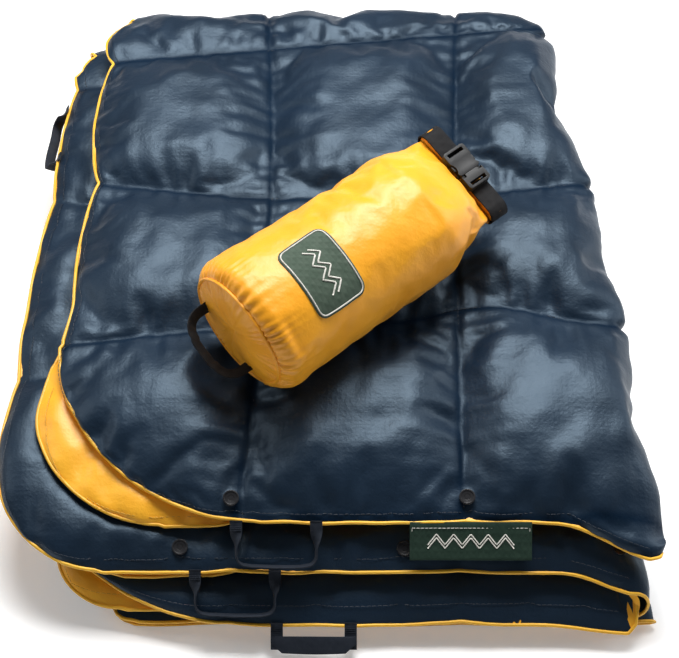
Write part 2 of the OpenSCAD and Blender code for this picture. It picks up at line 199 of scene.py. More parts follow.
def nylon(name, low, high, sheen, tint=WARM, wrinkle=0.00035, roughness=(0.36, 0.5), seams=None):
    """Light woven nylon with a soft satin shine, small creases and uneven tone.

    seams is the tint of the shine on quilted cloth; with it the shine is also turned down in the valley of
    each seam, as painted shade.
    """
    n = Nodes(name)
    tone = n.ramp(n.noise(9, 4, 0.6), [(0.3, low), (0.7, high)])
    crease = n.noise(70, 5, 0.62)
    fine = n.noise(260, 3, 0.55)
    rough = n.uneven(30, *roughness)
    n.bump([(crease, 0.55, wrinkle * 4), (fine, 0.4, wrinkle), (n.weave(0.0007), 0.25, 0.00012)])
    n.finish(tone, rough, 0.55, sheen, tint)
    if seams:
        # painted shade: the specular level drops near the quilting seams, standing in for the shade that
        # falls in the seam valleys
        depth = n.add("ShaderNodeAttribute", attribute_name="painted_seam_shade").outputs["Fac"]
        shine = n.math("SUBTRACT", 0.55, n.math("MULTIPLY", depth, 0.47))
        n.feed(n.shader.inputs["Specular IOR Level"], shine)
        n.shader.inputs["Specular Tint"].default_value = (*seams, 1)
    return n.material


def webbing(name, low, high, pitch=0.0014):
    """Flat woven strap: coarse ribs, fuzzy and matt."""
    n = Nodes(name)
    tone = n.ramp(n.noise(140, 3, 0.6), [(0.3, low), (0.7, high)])
    n.bump([(n.weave(pitch), 0.6, 0.0004), (n.noise(900, 2), 0.35, 0.00015)])
    return n.finish(tone, 0.72, 0.2, 0.03, (0.8, 0.85, 1))


def moulded(name, low, high, roughness):
    """Moulded plastic with a fine grain and worn, smoother patches."""
    n = Nodes(name)
    tone = n.ramp(n.noise(60, 3, 0.6), [(0.3, low), (0.7, high)])
    rough = n.uneven(45, roughness - 0.06, roughness + 0.12)
    n.bump([(n.noise(1400, 2), 0.25, 0.00008)])
    return n.finish(tone, rough, 0.28)


materials = {
    "navy_shell": nylon(
        "navy_nylon", (0.002, 0.008, 0.019), (0.005, 0.015, 0.033), 0.01, (0.45, 0.65, 1.0),
        wrinkle=0.00036, roughness=(0.40, 0.52), seams=(0.62, 0.82, 1),
    ),
    "gold_lining": nylon("gold_nylon", (0.90, 0.40, 0.015), (0.97, 0.50, 0.03), 0.05),
    "gold_ripstop": nylon("sack_nylon", (0.88, 0.34, 0.008), (0.96, 0.43, 0.016), 0.05, wrinkle=0.0003),
    "navy_webbing": webbing("navy_strap", (0.010, 0.014, 0.022), (0.017, 0.022, 0.032)),
    "black_webbing": webbing("black_strap", (0.006, 0.006, 0.007), (0.012, 0.012, 0.013)),
    "green_label": webbing("label_weave", (0.012, 0.030, 0.020), (0.020, 0.042, 0.029), 0.0009),
    "patch_fabric": webbing("patch_weave", (0.055, 0.085, 0.060), (0.075, 0.105, 0.078), 0.0009),
    "pale_thread": webbing("pale_weave", (0.62, 0.60, 0.54), (0.74, 0.72, 0.66), 0.0009),
    "buckle_plastic": moulded("buckle_nylon", (0.012, 0.013, 0.014), (0.020, 0.021, 0.022), 0.42),
    "snap_black": moulded("snap_nylon", (0.012, 0.012, 0.014), (0.022, 0.022, 0.024), 0.22),
    "gold_binding": nylon("gold_tape", (0.80, 0.40, 0.015), (0.90, 0.50, 0.03), 0.06, wrinkle=0.00025),
    "navy_thread": nylon(
        "navy_thread", (0.004, 0.010, 0.020), (0.008, 0.016, 0.030), 0.0, (0.6, 0.7, 0.9), 0.0002
    ),
    "gold_thread": nylon("gold_thread", (0.62, 0.33, 0.03), (0.75, 0.42, 0.05), 0.1, wrinkle=0.0002),
}

# ---------- shape of the stack

PLIES = 8
STACK_H = 0.132
STACK_REACH = 0.370
FRONT_POWER = 2.8
BACK_POWER = 8
FOLD_X = 0.261
FOLD_LEAN = 0.0915
BACK_Y = 0.355
HEM_Y = [-0.298, -0.295, -0.327, -0.325, -0.360, -0.345, -0.352, -0.350]
HEM_LEFT_FRONT = [-0.262, -0.282, -0.312, -0.300, -0.292, -0.258, -0.206, -0.204]
HEM_LEFT_BACK = [-0.258, -0.225, -0.280, -0.276, -0.276, -0.272, -0.280, -0.282]
HEM_CORNER_R = [0.185, 0.125, 0.100, 0.100, 0.190, 0.060, 0.020, 0.020]
BACK_LEFT_R = 0.060
BACK_RIGHT_R = 0.055
HALF_GAP = 0.00015
SNAPS = [(-0.096, -0.282, 0), (0.113, -0.281, 0), (-0.142, -0.311, 2), (0.058, -0.312, 2), (0.250, -0.311, 2)]

HEM_PULL = {0: 0.016, 1: 0.030}  # left hems drawn in behind the crescent
HEM_TUCK = [0, 0.011, 0, 0.011, 0, 0, 0, 0]  # the lower hem of a pair hides under the upper one
HEM_BULGE = 0.006  # hems stand out between the seams
CORNER_REACH = [0.034, 0.032, 0.026, 0.024, 0.010, 0.010, 0, 0]  # the front right corners reach forward

# upper ply, lower ply, inset of the folds, reach of the turn, shell outside
FOLDS = {
    "top_fold": (0, 1, 0.0, 0.015, True),
    "outer_fold": (2, 5, 0.012, 0.021, True),
    "inner_fold": (3, 4, 0.0243, 0.011, False),
    "bottom_fold": (6, 7, 0.006, 0.013, True),
}


def stack_z(y):
    power = np.where(np.asarray(y) < 0, FRONT_POWER, BACK_POWER)
    return STACK_H * (1 - np.minimum(np.abs(y) / STACK_REACH, 0.998) ** power) ** (1 / power)


def level_z(level, y):
    return stack_z(y) * (PLIES - level) / PLIES


def fold_side_x(y):
    return FOLD_X - FOLD_LEAN * y


def hem_left_x(ply, y):
    t = (y - HEM_Y[ply]) / (BACK_Y - HEM_Y[ply])
    return HEM_LEFT_FRONT[ply] + (HEM_LEFT_BACK[ply] - HEM_LEFT_FRONT[ply]) * t


def smooth_step(t):
    t = np.clip(t, 0, 1)
    return t * t * (3 - 2 * t)


def column_seams(y):
    return [-0.070 - 0.16 * (y - 0.08) ** 2, 0.112 + 0.03 * y + 0.05 * y**2]


def row_seams(x):
    return [
        -0.103 - 0.38 * np.minimum(x, 0) ** 2 + 0.022 * np.exp(-(((x - 0.14) / 0.07) ** 2)),
        0.058 + 0.38 * x**2,
        0.292 + 0.13 * x,
    ]


def whole(t):
    """True where a lattice parameter lies on a seam, the hem or the fold."""
    return np.abs(t - np.round(t)) < 1e-6


def between(stops, t):
    """Piecewise linear value at t in stops of arrays, where stop k is reached at t = k."""
    k = np.clip(np.floor(t).astype(int), 0, len(stops) - 2)
    stack = np.stack([np.broadcast_to(s, t.shape) for s in stops])
    low = np.take_along_axis(stack, k[None], 0)[0]
    high = np.take_along_axis(stack, k[None] + 1, 0)[0]
    return low + (high - low) * (t - k)


def round_corner(x, y, corner, sign, r):
    """Pulls the square corner region of a plan onto a quarter disc of radius r."""
    p = 1 - sign[0] * (x - corner[0]) / r
    q = 1 - sign[1] * (y - corner[1]) / r
    inside = (p > 0) & (q > 0)
    p, q = np.clip(p, 0, 1), np.clip(q, 0, 1)
    p2, q2 = p * np.sqrt(1 - q * q / 2), q * np.sqrt(1 - p * p / 2)
    return (
        np.where(inside, corner[0] + sign[0] * r * (1 - p2), x),
        np.where(inside, corner[1] + sign[1] * r * (1 - q2), y),
    )


def lattice(pitch):
    """Column and row parameters; whole numbers are the hem, the seams and the fold."""
    widths = [0.175, 0.19, 0.15]
    depths = [0.2, 0.165, 0.225, 0.06]

    def stops(lengths):
        counts = [max(4, round(length / pitch)) for length in lengths]
        return np.concatenate([k + np.arange(n) / n for k, n in enumerate(counts)] + [[len(lengths)]])

    return stops(widths), stops(depths)


def ply_plan(ply, inset, pitch, shift):
    """Plan points of one ply on the lattice; the turn takes up the last part of the inset."""
    columns, rows = lattice(pitch)
    a, b = np.meshgrid(columns, rows)
    front, back = HEM_Y[ply], BACK_Y - inset
    x = a / 3 * 0.5 - 0.25
    for _ in range(8):
        lower_row, middle_row, back_row = row_seams(x)
        stops = [front, lower_row + shift, middle_row + shift, np.minimum(back_row, back - 0.02), back]
        y = between(stops, b)
        left = hem_left_x(ply, y) + HEM_PULL.get(ply, 0) * smooth_step((y + 0.14) / 0.07)
        x = between([left] + [c + shift for c in column_seams(y)] + [fold_side_x(y) - inset], a)
    bulge = HEM_BULGE * (1.8 if ply == 0 else 1)
    x = x - bulge * np.abs(np.sin(math.pi * b)) ** 0.7 * np.clip(1 - a, 0, 1) ** 3
    y = y - 0.4 * HEM_BULGE * np.abs(np.sin(math.pi * a)) ** 0.7 * np.clip(1 - b, 0, 1) ** 3
    y = y + HEM_TUCK[ply] * smooth_step((x + 0.11) / 0.05) * np.clip(1 - b, 0, 1) ** 2
    y = y - CORNER_REACH[ply] * smooth_step((x - 0.190) / 0.105) * np.clip(1 - b, 0, 1) ** 1.5
    x, y = round_corner(x, y, (hem_left_x(ply, front), front), (1, 1), HEM_CORNER_R[ply])
    x, y = round_corner(x, y, (hem_left_x(ply, back), back), (1, -1), BACK_LEFT_R - 0.6 * inset)
    x, y = round_corner(x, y, (fold_side_x(back) - inset, back), (-1, -1), BACK_RIGHT_R - 0.6 * inset)
    return x, y, a, b


def smooth_noise(points, scale, seed):
    offset = Vector((seed * 7.1, seed * 3.7, seed * 1.9))
    return np.array([noise.noise(Vector(p) * scale + offset) for p in points])


def fold_skin(name, pitch, inner, seed):
    """Rest shape of one skin of a fold: two sheets joined round the folded sides.

    Returns vertices, quads, a pinned mask, the closed loop of hem vertices, and for each vertex its ply side:
    1 on the upper sheet, -1 on the lower one and 0 on the turn.
    """
    upper, lower, inset, turn, _ = FOLDS[name]
    if inner:
        inset, turn = inset + turn * 0.45, turn * 0.4
    sheets = []
    for ply, side in ((upper, 1), (lower, -1)):
        x, y, a, b = ply_plan(ply, inset + turn, pitch, 0.003 * math.sin(5 * seed + side))
        hem = (a < 1e-6) | (b < 1e-6)
        crossed = (whole(a) & (a > 0.5) & (a < 2.5)) | (whole(b) & (b > 0.5) & (b < 3.5))
        folded = ((a > 2.999) | (b > 3.999)) & ~crossed
        seam = (whole(a) | whole(b)) & ~folded
        puff = np.abs(np.sin(math.pi * a) * np.sin(math.pi * np.minimum(b, 3.5))) ** 0.6
        lift = np.where(seam, 0.0015 if inner else 0.0002, 0.001 + 0.004 * puff)
        z = level_z(ply + 0.5, y) + side * (-1 if inner else 1) * np.where(hem, 0, lift)
        sheets.append(dict(x=x, y=y, z=z, pin=seam | hem, a=a, b=b))
    rows, columns = sheets[0]["x"].shape
    index = np.arange(rows * columns).reshape(rows, columns)
    vertices = [np.stack([s["x"], s["y"], s["z"]], -1).reshape(-1, 3) for s in sheets]
    pins = [s["pin"].reshape(-1) for s in sheets]
    quads = []
    for k in (0, 1):
        base = index + k * rows * columns
        q = np.stack([base[:-1, :-1], base[:-1, 1:], base[1:, 1:], base[1:, :-1]], -1).reshape(-1, 4)
        quads.append(q[:, ::-1] if (k == 1) != inner else q)
    # the turn: strips between the two sheets, out round the right side and the back
    rim = np.concatenate([index[:, -1], index[-1, -2::-1]])
    top_rim, low_rim = vertices[0][rim], vertices[1][rim]
    along = np.gradient(top_rim[:, :2], axis=0)
    outward = np.stack([along[:, 1], -along[:, 0]], -1)
    outward /= np.linalg.norm(outward, axis=1)[:, None]
    turn_height = level_z(upper + 0.5, 0) - level_z(lower + 0.5, 0)
    steps = max(4, int(round(turn_height / pitch * 1.3)))
    a_rim, b_rim = sheets[0]["a"].reshape(-1)[rim], sheets[0]["b"].reshape(-1)[rim]
    pinched = whole(b_rim) & (b_rim < 3.99) & (b_rim > 0.01)
    pinched |= whole(a_rim) & (a_rim < 2.99) & (a_rim > 0.01)
    ends = np.zeros(len(rim), bool)
    ends[[0, -1]] = True
    strips, strip_pins = [], []
    bulge = 1.25 if name == "top_fold" and not inner else 0.9
    for j in range(1, steps):
        angle = math.pi * j / steps
        reach = turn * math.sin(angle) ** 0.7 * np.where(pinched, 0.45, np.where(ends, 0.85, bulge))
        height = 0.5 - 0.5 * math.cos(angle)
        point = top_rim + (low_rim - top_rim) * height
        point[:, :2] += outward * reach[:, None]
        strips.append(point)
        strip_pins.append(pinched | ends)
    start = 2 * rows * columns
    n = len(rim)
    ladder = [rim] + [start + j * n + np.arange(n) for j in range(steps - 1)] + [rim + rows * columns]
    for above, below in zip(ladder[:-1], ladder[1:]):
        q = np.stack([above[:-1], below[:-1], below[1:], above[1:]], -1)
        quads.append(q[:, ::-1] if inner else q)
    vertices = np.concatenate(vertices + strips)
    pins = np.concatenate(pins + strip_pins)
    side = np.repeat([1.0, -1.0, 0.0], [rows * columns, rows * columns, n * (steps - 1)])
    # hem loop: upper front hem, down the turn, lower hems, up the turn at the back, upper left hem
    low = index + rows * columns
    loop = [*index[0], *[rung[0] for rung in ladder[1:-1]], *low[0, ::-1], *low[1:, 0]]
    loop += [*[rung[-1] for rung in ladder[-2:0:-1]], *index[:0:-1, 0]]
    quads = np.concatenate(quads)
    return dict(v=vertices, quads=quads, pin=pins, loop=np.array(loop), side=side, index=index)


def hem_wave(points, seed):
    """Small unevenness of a hem, the same for both skins that meet at it."""
    wave = np.zeros_like(points)
    wave[:, 2] = 0.0016 * smooth_noise(points, 34, seed) + 0.0022 * smooth_noise(points, 11, seed + 5)
    wave[:, 1] = 0.0014 * smooth_noise(points, 28, seed + 9)
    wave[:, 0] = 0.0012 * smooth_noise(points, 24, seed + 13)
    return wave


def new_object(name, vertices, faces, slot_name, material=None):
    mesh = bpy.data.meshes.new(name)
    mesh.from_pydata([tuple(v) for v in vertices], [], [tuple(int(i) for i in f) for f in faces])
    mesh.validate()
    mesh.shade_smooth()
    mesh.materials.append(material or materials[slot_name])
    return in_scene(name, mesh)


def mesh_points(mesh):
    points = np.zeros(len(mesh.vertices) * 3)
    mesh.vertices.foreach_get("co", points)
    return points.reshape(-1, 3)


CLOTH_MASS = 0.02
STIFFNESS = 8.0


def add_cloth(piece, pinned, pressure, growth, bending=0.05):
    group = piece.vertex_groups.new(name="pin")
    group.add([int(i) for i in np.flatnonzero(pinned)], 1.0, "REPLACE")
    cloth = piece.modifiers.new("cloth", "CLOTH")
    s = cloth.settings
    s.quality = 5
    s.mass = CLOTH_MASS
    s.tension_stiffness = s.compression_stiffness = STIFFNESS
    s.shear_stiffness = STIFFNESS * 0.4
    s.bending_stiffness = bending
    s.tension_damping = s.compression_damping = 3
    s.air_damping = 3
    s.vertex_group_mass = "pin"
    s.use_pressure = True
    s.uniform_pressure_force = pressure
    s.shrink_min = -growth
    s.effector_weights.gravity = 0
    cloth.collision_settings.use_collision = False


CLOTH_FRAMES = 20


def run_cloth(pieces):
    """Steps every cloth together and keeps the last frame's points in the mesh."""
    scene = bpy.context.scene
    for frame_number in range(1, CLOTH_FRAMES + 1):
        scene.frame_set(frame_number)
    depsgraph = bpy.context.evaluated_depsgraph_get()
    results = [mesh_points(p.evaluated_get(depsgraph).data) for p in pieces]
    for piece, points in zip(pieces, results):
        piece.modifiers.remove(piece.modifiers["cloth"])
        set_points(piece.data, points)
    scene.frame_set(1)


# ---------- quilt


def inside_plan(ply, x, y, margin=0.0):
    """True where a ply covers a point of the plan."""
    left, front, r = hem_left_x(ply, y) + margin, HEM_Y[ply] + margin, HEM_CORNER_R[ply]
    corner_x, corner_y = hem_left_x(ply, HEM_Y[ply]) + margin + r, front + r
    outside_corner = (x < corner_x) & (y < corner_y) & (np.hypot(x - corner_x, y - corner_y) > r)
    return (x > left) & (y > front) & ~outside_corner


SACK_ORIGIN = np.array([-0.093, -0.158, 0.190])
SACK_AXIS = np.array([0.7650, 0.6419, 0.0523])
SACK_R = 0.062
SACK_L = 0.274


def press_under_sack(points):
    """Lowers the points that would be inside the sack lying on the quilt."""
    along = (points - SACK_ORIGIN) @ SACK_AXIS
    centre = SACK_ORIGIN + np.clip(along, -0.004, SACK_L - 0.02)[:, None] * SACK_AXIS
    centre[:, 2] -= 0.0035
    side = np.hypot(points[:, 0] - centre[:, 0], points[:, 1] - centre[:, 1])
    reach = SACK_R + 0.001 - 0.022 * np.clip((along - 0.19) / 0.084, 0, 1)
    under = side < reach
    limit = centre[:, 2] - np.sqrt(np.maximum(reach**2 - side**2, 0)) - 0.0006
    points[:, 2] = np.where(under, np.minimum(points[:, 2], limit), points[:, 2])


# how far the outer skin of each fold may stand past its side, and how far its hem and top may rise
SIDE_BULGE = {"top_fold": 0.011, "outer_fold": 0.006, "inner_fold": -0.014, "bottom_fold": 0.004}
PROUD = 0.005
TOP_PROUD = 0.016
PLY_GAP = 0.0003


def keep_in_ply(points, rest, side, name, inner):
    """Caps how far the cloth moved: each skin stays in the space of its own ply."""
    upper, lower, inset, turn, _ = FOLDS[name]
    x, y, z = points.T
    gap = PLY_GAP
    up, down, turned = side > 0.5, side < -0.5, side == 0

    def held(where, low, high):
        return np.where(where, np.clip(z, low, high), z)

    if inner:
        z = held(up, level_z(upper + 1, y) + gap, level_z(upper + 0.5, y) - 0.0005)
        covered = inside_plan(lower - 1, x, y, -0.002)
        ceiling = level_z(lower, y) - gap + np.where(covered, 0, PROUD)
        z = held(down, level_z(lower + 0.5, y) + 0.0008, ceiling)
        z = held(turned, level_z(lower + 0.5, y) + 0.0005, level_z(upper + 0.5, y) - 0.0005)
    else:
        covered = inside_plan(upper - 1, x, y, -0.002) if upper else np.zeros(len(x), bool)
        ceiling = level_z(upper, y) - gap + np.where(covered, 0, PROUD if upper else TOP_PROUD)
        z = held(up, level_z(upper + 0.5, y) + (0.0028 if upper < 3 else 0.0008), ceiling)
        z = held(down, level_z(lower + 1, y) + gap, level_z(lower + 0.5, y) + 0.0005)
        z = held(turned, level_z(lower + 1, y) + gap, level_z(upper, y) + (0.008 if upper == 0 else -gap))
    points[:, 2] = np.maximum(z, gap)
    beyond = -turn - 0.007 if inner else SIDE_BULGE[name]
    points[:, 0] = np.minimum(points[:, 0], fold_side_x(y) - inset + beyond)
    points[:, 1] = np.minimum(points[:, 1], BACK_Y - inset + min(beyond, 0.006))
    if not inner:
        side_wall, back_wall = fold_side_x(y) - inset - turn, BACK_Y - inset - turn
        on_side = turned & (rest[:, 0] > fold_side_x(rest[:, 1]) - inset - turn)
        on_back = turned & (rest[:, 1] > back_wall)
        points[:, 0] = np.where(on_side, np.maximum(points[:, 0], side_wall), points[:, 0])
        points[:, 1] = np.where(on_back, np.maximum(points[:, 1], back_wall), points[:, 1])


SEAM_SHADE = 0.0045
GATHER = 0.0040
RUMPLE = 0.0030
DRAG = np.array([[30, 14, 0], [-22, 19, 0], [0, 0, 18]])  # turns and stretches the rumples


def seam_distances(points):
    """Distance in plan from the nearest column seam, and from the nearest row seam or front hem."""
    x, y = points[:, 0], points[:, 1]
    columns = np.min([np.abs(x - c) for c in column_seams(y)], axis=0)
    rows = np.min([np.abs(y - r) for r in (*row_seams(x), *HEM_Y[:5:2])], axis=0)
    return columns, rows


def paint_seam_shade(mesh, points):
    """Stores how close each point is to a seam, as a painted shade mask that turns the cloth's shine down in
    the seam valleys.
    """
    depth = np.exp(-((np.minimum(*seam_distances(points)) / SEAM_SHADE) ** 2))
    mesh.attributes.new("painted_seam_shade", "FLOAT", "POINT").data.foreach_set("value", depth)


def gathers(points, normals, seed):
    """Fine gathers square to every seam and hem, added to the points along their normals."""
    columns, rows = seam_distances(points)
    square_to_columns = smooth_noise(points * np.array([0.2, 1, 0.3]), 78, seed)
    square_to_rows = smooth_noise(points * np.array([1, 0.2, 0.3]), 78, seed + 3)
    fade, start = 0.030, 0.005
    height = 0
    for distance, ripple in ((columns, square_to_columns), (rows, square_to_rows)):
        height = height + GATHER * np.exp(-distance / fade) * (1 - np.exp(-distance / start)) * ripple
    away = 1 - np.exp(-np.minimum(rows, columns) / 0.02)
    height += RUMPLE * away * smooth_noise(points @ DRAG, 1, seed + 5)
    return points + normals * height[:, None]


def subdivide(piece):
    modifier = piece.modifiers.new("smooth", "SUBSURF")
    modifier.levels = modifier.render_levels = 1
    depsgraph = bpy.context.evaluated_depsgraph_get()
    mesh = bpy.data.meshes.new_from_object(piece.evaluated_get(depsgraph))
    piece.modifiers.clear()
    piece.data = mesh


def vertex_normals(mesh):
    normals = np.zeros(len(mesh.vertices) * 3)
    mesh.vertex_normals.foreach_get("vector", normals)
    return normals.reshape(-1, 3)


def set_points(mesh, points):
    mesh.vertices.foreach_set("co", points.ravel())
    mesh.update()


def sweep(path, radius, sides, closed=False):
    """Tube vertices and faces along a path of points."""
    path = np.asarray(path, float)
    if closed:
        tangent = np.roll(path, -1, 0) - np.roll(path, 1, 0)
    else:
        tangent = np.gradient(path, axis=0)
    tangent /= np.linalg.norm(tangent, axis=1)[:, None] + 1e-12
    up = np.array([0, 0, 1.0])
    across = np.cross(tangent, up)
    length = np.linalg.norm(across, axis=1)[:, None]
    across = np.where(length > 0.2, across / (length + 1e-9), np.array([1.0, 0, 0]))
    normal = np.cross(across, tangent)
    angles = np.arange(sides) * 2 * math.pi / sides
    rings = (
        path[:, None]
        + radius * np.cos(angles)[None, :, None] * across[:, None]
        + radius * np.sin(angles)[None, :, None] * normal[:, None]
    )
    n = len(path)
    i, j = np.meshgrid(np.arange(n if closed else n - 1), np.arange(sides), indexing="ij")
    i2, j2 = (i + 1) % n, (j + 1) % sides
    faces = np.stack([i * sides + j, i2 * sides + j, i2 * sides + j2, i * sides + j2], -1).reshape(-1, 4)
    faces = [tuple(f) for f in faces[:, ::-1]]
    if not closed:
        faces.append(tuple(range(sides)))
        faces.append(tuple((n - 1) * sides + k for k in range(sides))[::-1])
    return rings.reshape(-1, 3), faces


def resample(path, step, closed=False):
    path = np.asarray(path, float)
    if closed:
        path = np.concatenate([path, path[:1]])
    length = np.concatenate([[0], np.cumsum(np.linalg.norm(np.diff(path, axis=0), axis=1))])
    count = max(3, int(round(length[-1] / step)))
    at = np.linspace(0, length[-1], count + 1)
    if closed:
        at = at[:-1]
    return np.stack([np.interp(at, length, path[:, k]) for k in range(3)], -1)


def turn(axis, degrees):
    return Matrix.Rotation(math.radians(degrees), 4, axis)


def placed(matrix, points):
    points = np.asarray(points, float)
    m = np.array(matrix)
    return points @ m[:3, :3].T + m[:3, 3]


STRAP_CROWN = 0.25


def ribbon(path, wide, width, thickness):
    """Flat strap along a path; wide holds the direction across the strap at each point."""
    path, wide = np.asarray(path, float), np.asarray(wide, float)
    tangent = np.gradient(path, axis=0)
    tangent /= np.linalg.norm(tangent, axis=1)[:, None]
    wide = wide - (wide * tangent).sum(1)[:, None] * tangent
    wide /= np.linalg.norm(wide, axis=1)[:, None]
    normal = np.cross(tangent, wide)
    half_w, half_t = width / 2, thickness / 2
    crown = [(a, 1 + STRAP_CROWN) for a in (-0.4, 0, 0.4)]
    section = [(-1, 0), (-0.96, 0.8), (-0.85, 1), *crown, (0.85, 1), (0.96, 0.8)]
    section += [(-a, -b) for a, b in section]
    rings = np.stack([path + a * half_w * wide + b * half_t * normal for a, b in section], 1)
    n, m = rings.shape[:2]
    faces = []
    for a in range(0, (n - 1) * m, m):
        faces += [(a + (j + 1) % m, a + m + (j + 1) % m, a + m + j, a + j) for j in range(m)]
    faces += [tuple(range(m)), tuple((n - 1) * m + k for k in range(m))[::-1]]
    return rings.reshape(-1, 3), faces


def moved(matrix, parts):
    return [(placed(matrix, v), f) for v, f in parts]


def join_parts(parts):
    """One set of vertices and faces from several."""
    vertices, faces, count = [], [], 0
    for v, f in parts:
        faces += [tuple(i + count for i in face) for face in f]
        vertices.append(v)
        count += len(v)
    return np.concatenate(vertices), faces


def add_piece(name, body, slot_name, parts, material=None, replaced=()):
    """New piece from parts of vertices and faces, which rides a body and stands for CAD nodes."""
    piece = new_object(name, *join_parts(parts), slot_name, material)
    if replaced:
        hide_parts(*replaced)
    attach(piece, body)
    return piece


def stitches(paths, lift, length=0.0034, gap=0.0016, radius=0.0003):
    """Thread dashes along paths, as one set of vertices and faces."""
    dashes = []
    for path in paths:
        points = resample(path, (length + gap) / 4)
        for k in range(0, len(points) - 4, 4):
            dash = points[k : k + 4].copy()
            dash[:, 2] += lift * np.array([0.1, 1, 1, 0.1])
            dashes.append(sweep(dash, radius, 5))
    return join_parts(dashes)


SNAP_SEAT_R = 0.0078


def pin_snaps(skin, ply):
    """Holds the cloth down where the snaps of this ply are set."""
    for sx, sy, snap_ply in SNAPS:
        if snap_ply != ply:
            continue
        v = skin["v"]
        near = (np.hypot(v[:, 0] - sx, v[:, 1] - sy) < SNAP_SEAT_R) & (skin["side"] > 0.5)
        slope = (level_z(ply, sy + 0.001) - level_z(ply, sy - 0.001)) / 0.002
        v[near, 2] = level_z(ply, sy) - HALF_GAP - 0.0004 + slope * (v[near, 1] - sy)
        skin["pin"] = skin["pin"] | near


SKIN_LOOK = {
    # fold, inner: pitch, pressure, growth
    ("top_fold", False): (0.0062, 12.0, 0.06),
    ("top_fold", True): (0.0085, 1.2, 0.03),
    ("outer_fold", False): (0.0085, 7.0, 0.04),
    ("outer_fold", True): (0.0110, 1.2, 0.03),
    ("inner_fold", False): (0.0120, 1.2, 0.03),
    ("inner_fold", True): (0.0100, 1.2, 0.03),
    ("bottom_fold", False): (0.0110, 1.2, 0.03),
    ("bottom_fold", True): (0.0120, 1.2, 0.03),
}


GATHERED = {("top_fold", False), ("outer_fold", False), ("top_fold", True)}
PIPING_R = 0.0016


def make_quilt():
    built = []
    for seed, ((name, inner), (pitch, pressure, growth)) in enumerate(SKIN_LOOK.items()):
        upper, lower, _, _, shell_outside = FOLDS[name]
        skin = fold_skin(name, pitch, inner, seed // 2)
        skin["v"][skin["loop"]] += hem_wave(skin["v"][skin["loop"]], seed // 2)
        if not inner:
            pin_snaps(skin, upper)
        ripple = 0.0007 * smooth_noise(skin["v"], 60, 20 + seed)
        skin["v"][:, 2] += np.where(skin["pin"], 0, ripple)
        slot_name = "navy_shell" if shell_outside != inner else "gold_lining"
        label = f"{name}_{'inner' if inner else 'outer'}_cloth"
        piece = new_object(label, skin["v"], skin["quads"], slot_name)
        built.append((piece, skin, name, inner, slot_name))
        add_cloth(piece, skin["pin"], pressure, growth)
    run_cloth([b[0] for b in built])
    seam_paths, hem_paths = [], []
    for seed, (piece, skin, name, inner, slot_name) in enumerate(built):
        points = mesh_points(piece.data)
        keep_in_ply(points, skin["v"], skin["side"], name, inner)
        if name == "top_fold" and not inner:
            press_under_sack(points)
        points[skin["pin"]] = skin["v"][skin["pin"]]
        set_points(piece.data, points)
        index = skin["index"]
        grid = points[index + (index.size if inner else 0)]
        hem_paths.append((slot_name, np.concatenate([grid[:0:-1, 1], grid[1, 2:]])))
        if name == "top_fold" and not inner:
            held = skin["pin"][index]
            seam_paths += [grid[k] for k in range(1, len(held) - 1) if held[k, 3] and held[k, 5]]
            seam_paths += [grid[:, k] for k in range(1, held.shape[1] - 1) if held[3, k] and held[5, k]]
        subdivide(piece)
        fine = mesh_points(piece.data)
        if (name, inner) == ("top_fold", False):
            paint_seam_shade(piece.data, fine)
        if (name, inner) in GATHERED:
            set_points(piece.data, gathers(fine, vertex_normals(piece.data), 40 + seed))
        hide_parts(f"{name}_{'shell' if slot_name == 'navy_shell' else 'lining'}")
        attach(piece, "quilt")
        if inner:
            continue
        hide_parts(f"{name}_fill")
        tube = sweep(resample(points[skin["loop"]], 0.0025, closed=True), PIPING_R, 10, closed=True)
        add_piece(f"{name}_piping", "quilt", "gold_binding", [tube], replaced=(f"{name}_binding",))
    dashes = stitches(seam_paths, 0.0005)
    add_piece("seam_stitches", "quilt", "navy_shell", [dashes], materials["navy_thread"])
    for tone, thread in (("navy_shell", "navy_thread"), ("gold_lining", "gold_thread")):
        paths = [path for slot_name, path in hem_paths if slot_name == tone]
        add_piece(f"{tone}_hem_stitches", "quilt", tone, [stitches(paths, 0.0006)], materials[thread])


make_quilt()

# ---------- webbing, loops and label


WEBBING_T = 0.0015
WEBBING_W = 0.011
LOOP_SPAN = 0.071
LOOP_DROP = 0.036
SIDE_LOOP_DROP = 0.026
LOOP_BEND = 0.009
LOOP_TWIST = 0.020
BAR_R, BAR_PITCH, BAR_Z = 0.00035, 0.0016, 0.0011  # bar tacks over the ends of a strap
HEM_FACE = 0.0042  # the loops and the label are sewn this far in front of the hem


